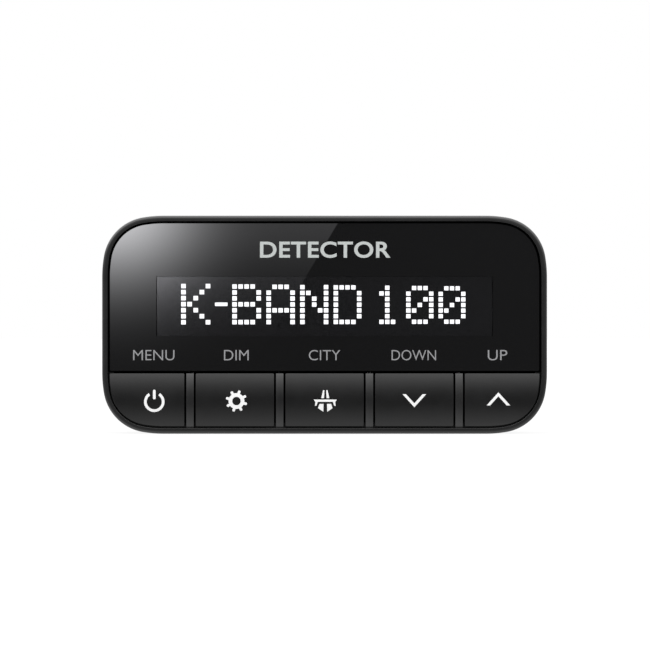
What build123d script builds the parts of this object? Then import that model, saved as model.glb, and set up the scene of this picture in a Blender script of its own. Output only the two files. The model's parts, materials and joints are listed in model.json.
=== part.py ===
"""Dash-mounted display and key head of a split radar detector, in millimetres.

Frame: X runs left to right as the driver sees it, the front faces -Y, +Z is up.
The origin is the middle of the base, halfway between the key crowns and the back
of the mounting pad.  Depths are named levels along Y, and the front is negative.
"""
from build123d import *
import math
import os

# ---------------------------------------------------------------- driving dimensions
CASE_W = 63.0
CASE_H = 30.9
CASE_D = 15.0                 # key crowns to the back of the mounting pad
CORNER_R = 6.7                # middle of each corner
CORNER_EASE_R = 17.5          # eases the corner into the straight edges
CORNER_EASE = math.radians(9.75)

RIM = 0.78                    # bezel rim, seen from the front
RIM_EDGE_R = 0.38             # rounding of its outer edge
FIT_GAP = 0.27                # shadow gap round the lens and the keys
WALL = 1.5                    # side walls
BACK_WALL = 1.7
SHELF_INSET = 2.9             # inner edge of the lens shelf
BOARD_INSET = WALL + 1.0
BACK_EDGE_R = 2.0
JOIN = 0.1                    # overlap that fuses two lumps of one piece
CUT = 1.0                     # how far a cutter runs past the face it cuts

KEY_PITCH = 12.7
RIB_W = 1.07                  # bar between two keys
KEY_TRAVEL = 0.5
KEY_CROWN = 0.45              # how far the middle of a key stands proud of its edges

LENS_T = 1.0
BOARD_T = 1.2
PAD_T = 1.2
PAD_RECESS = 0.4

WINDOW_W, WINDOW_H, WINDOW_Z = 47.7, 8.42, 18.08

# ---------------------------------------------------------------- levels along Y
CROWN_Y = -CASE_D / 2
FACE_Y = CROWN_Y + 0.40       # front of the bezel rim
LENS_Y = FACE_Y + 0.15
LENS_BACK_Y = LENS_Y + LENS_T
SHELF_Y = LENS_BACK_Y + 0.15  # shelf that the lens is glued to
SHELF_BACK_Y = SHELF_Y + 0.9
FLANGE_Y = SHELF_BACK_Y + 0.05
KEY_BACK_Y = FLANGE_Y + 0.75
BOARD_Y = -1.6
BOARD_BACK_Y = BOARD_Y + BOARD_T
PAD_BACK_Y = CASE_D / 2
CASE_BACK_Y = PAD_BACK_Y - PAD_T + PAD_RECESS
CAVITY_BACK_Y = CASE_BACK_Y - BACK_WALL
BEZEL_BACK_Y = 0.25
HOUSING_Y = BEZEL_BACK_Y + 0.30   # the parting line is a shadow gap
TONGUE_Y = -0.6

# ---------------------------------------------------------------- levels along Z
MID_Z = CASE_H / 2
KEY_LOW_Z = RIM + FIT_GAP
KEY_TOP_Z = 8.63
KEY_MID_Z = (KEY_LOW_Z + KEY_TOP_Z) / 2
BAR_LOW_Z = KEY_TOP_Z + 0.12      # crossbar between the lens and the keys
BAR_TOP_Z = 10.6
LENS_LOW_Z = KEY_TOP_Z + 0.24
FLANGE_LOW_Z, FLANGE_TOP_Z = 1.6, 9.2

CROWN_R = ((KEY_MID_Z - KEY_LOW_Z) ** 2 + KEY_CROWN ** 2) / (2 * KEY_CROWN)
CROWN_AXIS_Y = CROWN_Y + CROWN_R
KEY_HALF_GAP = RIB_W / 2 + FIT_GAP
RIBS_X = [KEY_PITCH * (i - 1.5) for i in range(4)]
RIB_SETBACK = 0.12

# ---------------------------------------------------------------- fixings and socket
HOUSING_SCREWS = [(sx * 27.1, z) for sx in (-1, 1) for z in (11.4, 24.6)]
BOARD_SCREWS = [(sx * 12.0, 27.0) for sx in (-1, 1)]
BOSS_R = 1.8
BOARD_BOSS_R = 1.5
WEB_HALF = 0.4
COUNTERBORE_R = 1.8
COLUMN_R = 2.0                # housing columns round the screws
HEAD_SEAT_Y = CASE_BACK_Y - 1.5
SCREW_R = 0.9
BOARD_SCREW_R = 0.7
THREAD_CLEARANCE = 0.02
SOCKET_Y, SOCKET_Z = 2.1, 18.5
SOCKET_R = 1.8                    # takes a 3.5 mm plug
SOCKET_NOSE_R = 2.5
SOCKET_BACK_X = 16.6
SOCKET_FACE_X = CASE_W / 2 - 0.3

SOCKET_H = 6.0

PAD_W, PAD_H, PAD_CORNER_R = 41.6, 18.0, 3.0
PAD_SLACK = 0.2

NODES = {}


# ---------------------------------------------------------------- shape helpers
def front_plane(x=0.0, y=0.0, z=0.0):
    """A plane seen from the front: local X is +X, local Y is +Z."""
    return Plane(origin=(x, y, z), x_dir=(1, 0, 0), z_dir=(0, -1, 0))


def slab(sketch, y0, y1, x=0.0, z=0.0):
    """Extrudes a sketch drawn as (x, z) from level y0 back to y1."""
    return extrude(front_plane(x, y0, z) * sketch, amount=y1 - y0, dir=(0, 1, 0))


def block(x0, x1, y0, y1, z0, z1):
    middle = Pos((x0 + x1) / 2, (y0 + y1) / 2, (z0 + z1) / 2)
    return middle * Box(x1 - x0, y1 - y0, z1 - z0)


def block_at(x, z, width, height, y0, y1):
    """A block centred on (x, z) as seen from the front."""
    return block(x - width / 2, x + width / 2, y0, y1, z - height / 2, z + height / 2)


def rod(x, z, radius, y0, y1):
    return Pos(x, (y0 + y1) / 2, z) * Rot(90, 0, 0) * Cylinder(radius, y1 - y0)


def side_rod(y, z, radius, x0, x1):
    return Pos((x0 + x1) / 2, y, z) * Rot(0, 90, 0) * Cylinder(radius, x1 - x0)


def casing_face(inset=0.0):
    """The casing's outline as (x, z), moved inwards by inset; each corner is three tangent arcs."""
    turn = Vector(math.sin(CORNER_EASE), math.cos(CORNER_EASE))
    level = Vector(turn.Y, turn.X)
    spread = CORNER_EASE_R - CORNER_R
    reach = CORNER_EASE_R - spread * (turn.Y - turn.X)
    top_centre = Vector(CASE_W / 2 - reach, CASE_H / 2 - CORNER_EASE_R)
    middle_centre = top_centre + turn * spread
    side_centre = middle_centre - level * spread
    ease_r, tight_r = CORNER_EASE_R - inset, CORNER_R - inset
    half = CORNER_EASE / 2
    half_turn = Vector(math.sin(half), math.cos(half))
    half_level = Vector(half_turn.Y, half_turn.X)
    diagonal = Vector(math.sqrt(0.5), math.sqrt(0.5))
    arcs = [
        (top_centre + Vector(0, ease_r), top_centre + half_turn * ease_r, top_centre + turn * ease_r),
        (middle_centre + turn * tight_r, middle_centre + diagonal * tight_r, middle_centre + level * tight_r),
        (side_centre + level * ease_r, side_centre + half_level * ease_r, side_centre + Vector(ease_r, 0)),
    ]

    def place(point, sx, sz):
        return (sx * point.X, MID_Z + sz * point.Y)

    edges = []
    for sx in (-1, 1):
        for sz in (-1, 1):
            edges += [Edge.make_three_point_arc(*(place(p, sx, sz) for p in arc)) for arc in arcs]
    top_end, side_end = arcs[0][0], arcs[-1][-1]
    for s in (-1, 1):
        edges.append(Edge.make_line(place(top_end, -1, s), place(top_end, 1, s)))
        edges.append(Edge.make_line(place(side_end, s, -1), place(side_end, s, 1)))
    return Face(Wire(edges))


def casing_slab(inset, y0, y1):
    return slab(casing_face(inset), y0, y1)


def upper_part(shape, z):
    return shape & block(-CASE_W, CASE_W, -CASE_D, CASE_D, z, 2 * CASE_H)


def lower_part(shape, z):
    return shape & block(-CASE_W, CASE_W, -CASE_D, CASE_D, -CASE_H, z)


def crown(setback=0.0):
    """Everything behind the crowned front that the keys and the ribs share."""
    return side_rod(CROWN_AXIS_Y, KEY_MID_Z, CROWN_R - setback, -CASE_W, CASE_W)


def add(name, *solids):
    """Keeps one node; several solids are separate copies of one kind of piece."""
    NODES[name] = solids[0] if len(solids) == 1 else Compound(children=list(solids))


# ---------------------------------------------------------------- casing
def bezel_shell():
    """Rim with its rounded edge, side walls, and the shelf and crossbar that hold the lens."""
    shell = casing_slab(0, FACE_Y, BEZEL_BACK_Y)
    shell = fillet(shell.faces().sort_by(Axis.Y)[0].edges(), RIM_EDGE_R)
    shell -= casing_slab(RIM, FACE_Y - CUT, SHELF_Y)
    shell -= casing_slab(WALL, SHELF_BACK_Y, BEZEL_BACK_Y + CUT)
    shell -= upper_part(casing_slab(SHELF_INSET, SHELF_Y - CUT, SHELF_BACK_Y + CUT), BAR_TOP_Z)
    key_room_back_y = KEY_BACK_Y + KEY_TRAVEL + 0.2
    return shell - lower_part(casing_slab(RIM, SHELF_Y - CUT, key_room_back_y), BAR_LOW_Z)


def key_rib(x):
    """Bar between two keys, crowned like them, from the rim's lower wall up to the crossbar."""
    low_z = RIM - JOIN
    rib = block(x - RIB_W / 2, x + RIB_W / 2, CROWN_Y, SHELF_BACK_Y, low_z, KEY_TOP_Z)
    rib += block(x - RIB_W / 2, x + RIB_W / 2, SHELF_Y, SHELF_BACK_Y, low_z, BAR_LOW_Z + JOIN)
    return rib & crown(RIB_SETBACK)


def screw_boss(x, z, radius, screw_r):
    """Boss for a screw from behind, solid where it meets the lens shelf."""
    tip_wall = 0.3
    boss = rod(x, z, radius, SHELF_BACK_Y, BOARD_Y)
    return boss, rod(x, z, screw_r + THREAD_CLEARANCE, SHELF_BACK_Y + tip_wall, BOARD_Y + CUT)


def front_bezel():
    """Rim, lens shelf, crossbar, four ribs between the keys, and webbed screw bosses."""
    body = bezel_shell()
    for x in RIBS_X:
        body += key_rib(x)
    wall_x = CASE_W / 2 - WALL + JOIN
    wall_z = CASE_H - WALL + JOIN
    web_back_y = BOARD_Y - 0.3
    holes = []
    for x, z in HOUSING_SCREWS:
        boss, hole = screw_boss(x, z, BOSS_R, SCREW_R)
        web_ends = sorted((x, math.copysign(wall_x, x)))
        body += boss + block(*web_ends, SHELF_BACK_Y, web_back_y, z - WEB_HALF, z + WEB_HALF)
        holes.append(hole)
    for x, z in BOARD_SCREWS:
        boss, hole = screw_boss(x, z, BOARD_BOSS_R, BOARD_SCREW_R)
        body += boss + block(x - WEB_HALF, x + WEB_HALF, SHELF_BACK_Y, web_back_y, z, wall_z)
        holes.append(hole)
    for hole in holes:
        body -= hole
    return body - socket_hole()


def socket_hole():
    """Round hole for the socket's nose, shared by both halves of the casing."""
    return side_rod(SOCKET_Y, SOCKET_Z, SOCKET_NOSE_R + 0.12, CASE_W / 4, CASE_W)


def rear_housing():
    """Tray with a tongue inside the bezel, four screw columns, a pad recess and the socket hole."""
    body = casing_slab(0, HOUSING_Y, CASE_BACK_Y)
    body = fillet(body.faces().sort_by(Axis.Y)[-1].edges(), BACK_EDGE_R)
    body -= casing_slab(WALL + 0.1, HOUSING_Y - CUT, CAVITY_BACK_Y)
    body += housing_tongue()
    for x, z in HOUSING_SCREWS:
        body += rod(x, z, COLUMN_R, BOARD_BACK_Y, CAVITY_BACK_Y)
    for x, z in HOUSING_SCREWS:
        body -= rod(x, z, SCREW_R + 0.15, BOARD_BACK_Y - CUT, CASE_BACK_Y)
        body -= rod(x, z, COUNTERBORE_R, HEAD_SEAT_Y, CASE_BACK_Y + CUT)
    recess = RectangleRounded(PAD_W + 2 * PAD_SLACK, PAD_H + 2 * PAD_SLACK, PAD_CORNER_R + PAD_SLACK)
    body -= slab(recess, CASE_BACK_Y - PAD_RECESS, CASE_BACK_Y + CUT, z=MID_Z)
    return body - socket_hole()


def housing_tongue():
    """Thin lip that stands inside the bezel's walls, with a gap for the socket."""
    lip_t = 0.75
    outer = WALL + 0.05
    tongue = casing_slab(outer, TONGUE_Y, HOUSING_Y + 0.6)
    tongue -= casing_slab(outer + lip_t, TONGUE_Y - CUT, HOUSING_Y + CUT)
    gap_half = SOCKET_H / 2 + 0.4
    return tongue - block(CASE_W / 4, CASE_W / 2, TONGUE_Y - CUT, HOUSING_Y + CUT,
                          SOCKET_Z - gap_half, SOCKET_Z + gap_half)


def mounting_pad():
    """Foam adhesive pad, half sunk in its recess."""
    pad = slab(RectangleRounded(PAD_W, PAD_H, PAD_CORNER_R), CASE_BACK_Y - PAD_RECESS, PAD_BACK_Y, z=MID_Z)
    return fillet(pad.faces().sort_by(Axis.Y)[-1].edges(), 0.15)


def cross_head_screw(x, z, seat_y, tip_y, radius, head_r, head_t):
    """A pan-head screw that goes in from the back, with a cross recess."""
    head = rod(x, z, head_r, seat_y, seat_y + head_t)
    head = fillet(head.faces().sort_by(Axis.Y)[-1].edges(), head_t * 0.4)
    for width, height in ((0.4, head_r * 1.3), (head_r * 1.3, 0.4)):
        head -= block_at(x, z, width, height, seat_y + head_t * 0.45, seat_y + head_t + 1)
    shank = rod(x, z, radius, tip_y, seat_y)
    return head + chamfer(shank.faces().sort_by(Axis.Y)[0].edges(), radius * 0.5)


# ---------------------------------------------------------------- lens and display
def display_lens():
    """Smoked window that fills the bezel above the keys."""
    lens = upper_part(casing_slab(RIM + FIT_GAP, LENS_Y, LENS_BACK_Y), LENS_LOW_Z)
    return fillet(lens.faces().sort_by(Axis.Y)[0].edges(), 0.1)


def lens_adhesive():
    """Die-cut tape between the lens and its shelf."""
    tape = upper_part(casing_slab(RIM + 0.5, LENS_BACK_Y, SHELF_Y), LENS_LOW_Z + 0.2)
    opening = casing_slab(SHELF_INSET - 0.2, LENS_BACK_Y - CUT, SHELF_Y + CUT)
    return tape - upper_part(opening, BAR_TOP_Z - 0.2)


GLASS_W, GLASS_Z0, GLASS_Z1 = 49.2, 12.9, 23.3
GASKET_BACK_Y = LENS_BACK_Y + 0.4
GLASS_BACK_Y = GASKET_BACK_Y + 1.0
SUBSTRATE_BACK_Y = GLASS_BACK_Y + 1.1
SUBSTRATE_Z0 = 11.85
HOLDER_BACK_Y = SUBSTRATE_BACK_Y + 0.85
RIBBON_W = 12.0
RIBBON_T = 0.12


def display_gasket():
    """Black foam frame that closes the gap between the lens and the display."""
    middle_z = (GLASS_Z0 + GLASS_Z1) / 2
    frame = block_at(0, middle_z, GLASS_W, GLASS_Z1 - GLASS_Z0, LENS_BACK_Y, GASKET_BACK_Y)
    return frame - block_at(0, WINDOW_Z, WINDOW_W, WINDOW_H, LENS_BACK_Y - CUT, GASKET_BACK_Y + CUT)


def display_cover_glass():
    return block(-GLASS_W / 2, GLASS_W / 2, GASKET_BACK_Y, GLASS_BACK_Y, GLASS_Z0, GLASS_Z1)


def display_substrate():
    """Rear glass; its lower ledge carries the ribbon."""
    return block(-GLASS_W / 2, GLASS_W / 2, GLASS_BACK_Y, SUBSTRATE_BACK_Y, SUBSTRATE_Z0, GLASS_Z1)


def display_holder():
    """Tray that holds both glasses and stands on the board on four feet."""
    wall = 0.5
    slack = 0.1
    low, high = SUBSTRATE_Z0 - slack - wall, GLASS_Z1 + slack + wall
    half = GLASS_W / 2 + slack + wall
    holder = block(-half, half, GASKET_BACK_Y + 0.2, HOLDER_BACK_Y, low, high)
    holder -= block(-half + wall, half - wall, CROWN_Y, SUBSTRATE_BACK_Y, low + wall, high - wall)
    holder -= block_at(0, low, RIBBON_W + 1, 3 * wall, CROWN_Y, BOARD_Y)
    for sx in (-1, 1):
        for z in (low + 1.5, high - 1.5):
            holder += rod(sx * (half - 2), z, 0.8, HOLDER_BACK_Y, BOARD_Y)
    return holder


RIBBON_FRONT_Y = GLASS_BACK_Y - RIBBON_T
RIBBON_LOW_Z = 11.14
RIBBON_REAR_Y = 0.21
CONNECTOR_Z0, CONNECTOR_Z1 = 12.8, 15.8


def display_ribbon():
    """Flexible ribbon: down off the glass, back through the board's slot, up into its connector."""
    outer = block(-RIBBON_W / 2, RIBBON_W / 2, RIBBON_FRONT_Y, RIBBON_REAR_Y, RIBBON_LOW_Z, 13.4)
    bends = outer.edges().filter_by(Axis.X).group_by(Axis.Z)[0]
    outer = fillet(bends, 0.56)
    inner = block(-RIBBON_W, RIBBON_W, RIBBON_FRONT_Y + RIBBON_T, RIBBON_REAR_Y - RIBBON_T,
                  RIBBON_LOW_Z + RIBBON_T, 14)
    inner = fillet(inner.edges().filter_by(Axis.X).group_by(Axis.Z)[0], 0.44)
    ribbon = outer - inner
    return ribbon - block(-RIBBON_W, RIBBON_W, CROWN_Y, RIBBON_FRONT_Y + 1, GLASS_Z0 - 0.2, 14)


def ribbon_connector():
    """Flat-cable connector with a latch bar, open below for the ribbon."""
    body = block(-7.2, 7.2, BOARD_BACK_Y, BOARD_BACK_Y + 1.1, CONNECTOR_Z0, CONNECTOR_Z1)
    body += block(-7.2, 7.2, BOARD_BACK_Y + 1.1, BOARD_BACK_Y + 1.35, CONNECTOR_Z0 + 0.2, CONNECTOR_Z0 + 1.2)
    body -= block(-RIBBON_W / 2 - 0.1, RIBBON_W / 2 + 0.1, RIBBON_REAR_Y - RIBBON_T - 0.03,
                  RIBBON_REAR_Y + 0.03, CONNECTOR_Z0 - 1, 13.5)
    return body


# ---------------------------------------------------------------- board and electronics
def main_board():
    board = casing_slab(BOARD_INSET, BOARD_Y, BOARD_BACK_Y)
    hole_slack = 0.2
    for x, z in HOUSING_SCREWS:
        board -= rod(x, z, SCREW_R + hole_slack, BOARD_Y - CUT, BOARD_BACK_Y + CUT)
    for x, z in BOARD_SCREWS:
        board -= rod(x, z, BOARD_SCREW_R + hole_slack, BOARD_Y - CUT, BOARD_BACK_Y + CUT)
    return board - block_at(0, RIBBON_LOW_Z + 0.1, RIBBON_W + 1.4, 1.1, BOARD_Y - CUT, BOARD_BACK_Y + CUT)


def on_board(x, z, width, height, thickness, stand=0.0):
    """A block on the back of the board."""
    base = BOARD_BACK_Y + stand
    return block_at(x, z, width, height, base, base + thickness)


def chip_with_leads(x, z, size, per_side, thickness=1.4):
    """Moulded chip with gull-wing leads on its four sides."""
    chip = on_board(x, z, size, size, thickness, stand=0.1)
    chip = chamfer(chip.faces().sort_by(Axis.Y)[-1].edges(), 0.15)
    lead, foot = 0.22, 0.8
    reach = size / 2 + foot / 2 - 0.1
    pitch = (size - 1.2) / (per_side - 1)
    for i in range(per_side):
        along = (i - (per_side - 1) / 2) * pitch
        for s in (-1, 1):
            chip += on_board(x + along, z + s * reach, lead, foot, 0.3)
            chip += on_board(x + s * reach, z + along, foot, lead, 0.3)
    return chip


def small_regulator(x, z):
    """Five-lead regulator."""
    body = on_board(x, z, 2.9, 1.6, 1.1, stand=0.1)
    for along in (-0.95, 0, 0.95):
        body += on_board(x + along, z - 1.1, 0.4, 0.7, 0.3)
    for along in (-0.95, 0.95):
        body += on_board(x + along, z + 1.1, 0.4, 0.7, 0.3)
    return body


def power_inductor(x, z):
    core = fillet(on_board(x, z, 4.0, 4.0, 1.8).edges().filter_by(Axis.Y), 0.8)
    return core + rod(x, z, 1.5, BOARD_BACK_Y + 1.8, BOARD_BACK_Y + 2.0)


def quartz_crystal(x, z):
    base = on_board(x, z, 3.2, 2.5, 0.45)
    lid = on_board(x, z, 2.8, 2.1, 0.3, stand=0.45)
    return base + lid


def two_end_chip(x, z, length, width, thickness):
    """A chip capacitor or resistor with proud solder ends."""
    body = on_board(x, z, length * 0.6, width * 0.94, thickness * 0.94)
    for s in (-1, 1):
        body += on_board(x + s * length * 0.4, z, length * 0.22, width, thickness)
    return body


# ---------------------------------------------------------------- cable socket
def link_socket():
    """3.5 mm socket for the cable to the receiver: body on the board, nose in the side wall."""
    body_end_x = CASE_W / 2 - WALL - 0.3
    body = block(SOCKET_BACK_X, body_end_x, BOARD_BACK_Y, SOCKET_Y + 2.5,
                 SOCKET_Z - SOCKET_H / 2, SOCKET_Z + SOCKET_H / 2)
    body = chamfer(body.faces().sort_by(Axis.Y)[-1].edges(), 0.3)
    body += side_rod(SOCKET_Y, SOCKET_Z, SOCKET_NOSE_R, body_end_x, SOCKET_FACE_X)
    body -= side_rod(SOCKET_Y, SOCKET_Z, SOCKET_R, SOCKET_BACK_X - CUT, SOCKET_FACE_X + CUT)
    for x, side in CONTACTS:
        body -= contact_blade(x, side, slack=0.05)
    return body


CONTACTS = [(19.0, -1), (22.2, 1), (25.4, -1), (28.0, 1)]    # X, and which side of the bore
CONTACT_W = 1.0
CONTACT_T = 0.24
CONTACT_LEG_Z = 2.8      # from the bore's axis to the outside of the leg


def contact_blade(x, side, slack=0.0):
    """Blade from the bore's wall out to a leg that drops to the board; slack widens it into its slot."""
    half_w = CONTACT_W / 2 + slack
    half_t = CONTACT_T / 2 + slack
    bore_end, leg_out, leg_in = [SOCKET_Z + side * d for d in (
        SOCKET_R + 0.02 - 4 * slack, CONTACT_LEG_Z + slack, CONTACT_LEG_Z - CONTACT_T - slack)]
    blade = block(x - half_w, x + half_w, SOCKET_Y - half_t, SOCKET_Y + half_t, *sorted((bore_end, leg_out)))
    leg = block(x - half_w, x + half_w, BOARD_BACK_Y, SOCKET_Y + half_t, *sorted((leg_in, leg_out)))
    if slack:
        leg += block(x - half_w, x + half_w, BOARD_BACK_Y, BOARD_BACK_Y + CONTACT_T + slack,
                     *sorted((leg_in, SOCKET_Z + side * SOCKET_H)))
    return blade + leg


def socket_contact(x, side):
    """Sprung contact, drawn flush with the bore, with a foot soldered to the board."""
    foot_ends = sorted(SOCKET_Z + side * d for d in (CONTACT_LEG_Z - CONTACT_T, SOCKET_H / 2 + 1))
    foot = block(x - CONTACT_W / 2, x + CONTACT_W / 2, BOARD_BACK_Y, BOARD_BACK_Y + CONTACT_T, *foot_ends)
    return contact_blade(x, side) + foot


# ---------------------------------------------------------------- key icons, as (x, z) round their middles
def power_icon():
    stroke, ring_r, gap = 0.38, 1.26, 33
    ring = Circle(ring_r + stroke / 2) - Circle(ring_r - stroke / 2)
    far = 3.0
    spread = far * math.tan(math.radians(gap))
    ring -= make_face(Polyline((0, 0), (-spread, far), (spread, far), close=True))
    bar = Pos(0, 1.02) * SlotOverall(1.37, 0.38, rotation=90)
    return ring + bar


GEAR_HOLE_R = 0.6


def gear_icon():
    teeth, first_tooth = 8, 16.5
    gear = Circle(1.12)
    for i in range(teeth):
        gear += Rot(0, 0, -first_tooth - i * 360 / teeth) * Pos(0, 1.18) * RectangleRounded(0.38, 0.72, 0.16)
    return gear - Circle(GEAR_HOLE_R)


def road_icon():
    """Two lanes running under a bridge."""
    def polygon(*points):
        return make_face(Polyline(*points, close=True))

    right = polygon((0.13, 1.49), (0.31, 1.49), (0.57, 0.36), (0.18, 0.36))
    right += polygon((0.25, -0.45), (0.82, -0.45), (1.03, -1.05), (0.27, -1.58))
    right += polygon((-0.1, 0.16), (1.63, 0.16), (1.40, -0.2), (1.47, -0.72), (1.25, -0.72), (1.07, -0.16),
                     (-0.1, -0.16))
    return right + mirror(right, about=Plane.YZ)


def chevron_icon(direction):
    half, height, thick = 1.68, 1.85, 0.55
    inner = half * (height - thick) / height
    outline = [(-half, height / 2), (0, -height / 2), (half, height / 2), (inner, height / 2),
               (0, thick - height / 2), (-inner, height / 2)]
    return make_face(Polyline(*[(x, -direction * z) for x, z in outline], close=True))


# name, icon, middle of the icon, and the switch's X; the outer switches clear the board's round corners
KEYS = [
    ("menu", power_icon(), (-24.10, 4.55), -24.4),
    ("dim", gear_icon(), (-12.47, 4.65), -KEY_PITCH),
    ("city", road_icon(), (0.1, 4.70), 0.0),
    ("down", chevron_icon(-1), (12.70, 4.70), KEY_PITCH),
    ("up", chevron_icon(1), (24.60, 4.95), 24.4),
]
ICON_FLOOR_Y = CROWN_Y + 1.4
DIFFUSER_W, DIFFUSER_H = 8.2, 4.2
DIFFUSER_BACK_Y = ICON_FLOOR_Y + 0.8
KEY_EDGE_R = 0.14
FLANGE_REACH = 0.5            # past the cap's sides, behind the ribs
LIGHT_WINDOW = (2.2, 3.4)     # in the cap's back, over the lamp
LED_OFFSET = 3.0


def key_sides(index):
    """Left and right limits of a key; the outer keys run on to the casing's outline."""
    left = RIBS_X[index - 1] + KEY_HALF_GAP if index > 0 else -CASE_W
    right = RIBS_X[index] - KEY_HALF_GAP if index < len(RIBS_X) else CASE_W
    return left, right


def led_x(switch_x):
    return switch_x + (LED_OFFSET if switch_x < 0 else -LED_OFFSET)


def clear_core(name, sketch, centre, switch_x):
    """Space of a key's clear plastic: the icon and a diffuser plate, which the gear's hub crosses."""
    plate = block_at(switch_x, KEY_MID_Z, DIFFUSER_W, DIFFUSER_H, ICON_FLOOR_Y, DIFFUSER_BACK_Y)
    core = plate & casing_slab(RIM + FIT_GAP + 0.8, CROWN_Y, KEY_BACK_Y)
    core += slab(sketch, CROWN_Y - CUT, ICON_FLOOR_Y + JOIN, x=centre[0], z=centre[1])
    if name == "dim":
        core -= rod(*centre, GEAR_HOLE_R, CROWN_Y - 2 * CUT, KEY_BACK_Y)
    return core


def key_icon(name, sketch, centre, switch_x):
    """Clear part of a two-shot key, flush with the crown."""
    return clear_core(name, sketch, centre, switch_x) & crown()


def key_cap(index, name, sketch, centre, switch_x):
    """Black shell of a two-shot key, crowned in front, with a stop flange behind the ribs and crossbar."""
    left, right = key_sides(index)
    panel = lower_part(casing_slab(RIM + FIT_GAP, CROWN_Y - CUT, KEY_BACK_Y), KEY_TOP_Z)
    cap = panel & block(left, right, CROWN_Y - CUT, KEY_BACK_Y, 0, KEY_TOP_Z) & crown()
    front = [face for face in cap.faces() if face.geom_type == GeomType.CYLINDER
             and abs(face.radius - CROWN_R) < 0.001]
    cap = fillet(front[0].edges(), KEY_EDGE_R)
    flange = lower_part(casing_slab(WALL + 0.15, FLANGE_Y, KEY_BACK_Y), FLANGE_TOP_Z)
    cap += flange & block(left - FLANGE_REACH, right + FLANGE_REACH, FLANGE_Y, KEY_BACK_Y,
                          FLANGE_LOW_Z, FLANGE_TOP_Z)
    cap -= clear_core(name, sketch, centre, switch_x)
    window = (led_x(switch_x), KEY_MID_Z, *LIGHT_WINDOW)
    return cap - block_at(*window, DIFFUSER_BACK_Y - JOIN, KEY_BACK_Y + CUT)


SWITCH_FRONT_Y = BOARD_Y - 1.7
SWITCH_COVER_T = 0.3
DOME_SEAT_Y = BOARD_Y - 0.3
DOME_TOP_Y = BOARD_Y - 1.05
DOME_EDGE_R = 1.4
PLUNGER_R = 0.9


def switch_body(x):
    """Moulded base of a tact switch with its cover and four solder tabs."""
    body = block_at(x, KEY_MID_Z, 3.5, 3.5, SWITCH_FRONT_Y, BOARD_Y)
    body = fillet(body.edges().filter_by(Axis.Y), 0.3)
    for sx in (-1, 1):
        for sz in (-1, 1):
            body += block_at(x + sx * 1.9, KEY_MID_Z + sz * 1.0, 0.7, 0.5, BOARD_Y - 0.2, BOARD_Y)
    body -= rod(x, KEY_MID_Z, PLUNGER_R + 0.1, SWITCH_FRONT_Y - CUT, DOME_SEAT_Y)
    return body - rod(x, KEY_MID_Z, DOME_EDGE_R + 0.05, SWITCH_FRONT_Y + SWITCH_COVER_T, DOME_SEAT_Y)


def switch_plunger(x):
    """Button of the switch, which the key's back rests on."""
    flange_y = SWITCH_FRONT_Y + SWITCH_COVER_T + 0.05
    return (rod(x, KEY_MID_Z, PLUNGER_R, KEY_BACK_Y, flange_y + 0.1)
            + rod(x, KEY_MID_Z, 1.25, flange_y, flange_y + 0.25))


def switch_dome(x):
    """Sprung metal dome under the plunger."""
    rise = DOME_SEAT_Y - DOME_TOP_Y
    outer_r = (DOME_EDGE_R ** 2 + rise ** 2) / (2 * rise)
    middle = Pos(x, DOME_TOP_Y + outer_r, KEY_MID_Z)
    dome = middle * Sphere(outer_r) - middle * Sphere(outer_r - 0.1)
    return dome & block_at(x, KEY_MID_Z, 2 * outer_r, 2 * outer_r, DOME_TOP_Y - 0.1, DOME_SEAT_Y)


def key_led(x):
    base = block_at(x, KEY_MID_Z, 1.6, 0.8, BOARD_Y - 0.35, BOARD_Y)
    return base + block_at(x, KEY_MID_Z, 1.0, 0.8, BOARD_Y - 0.7, BOARD_Y - 0.35)


BAFFLE_WALL = 0.8
BAFFLE_TOP_Z = 9.0


def light_baffle():
    """Comb of opaque walls that keeps each key's light to itself."""
    front = KEY_BACK_Y + KEY_TRAVEL + 0.1
    comb = lower_part(casing_slab(BOARD_INSET + 0.2, front, BOARD_Y), BAFFLE_TOP_Z)
    half = BAFFLE_WALL / 2
    end_x = CASE_W / 2 - BOARD_INSET - BAFFLE_WALL
    walls_x = [-end_x, *RIBS_X, end_x]
    for left, right in zip(walls_x, walls_x[1:]):
        comb -= block(left + half, right - half, front - CUT, BOARD_Y + CUT, 0, BAFFLE_TOP_Z - BAFFLE_WALL)
    return comb


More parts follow.
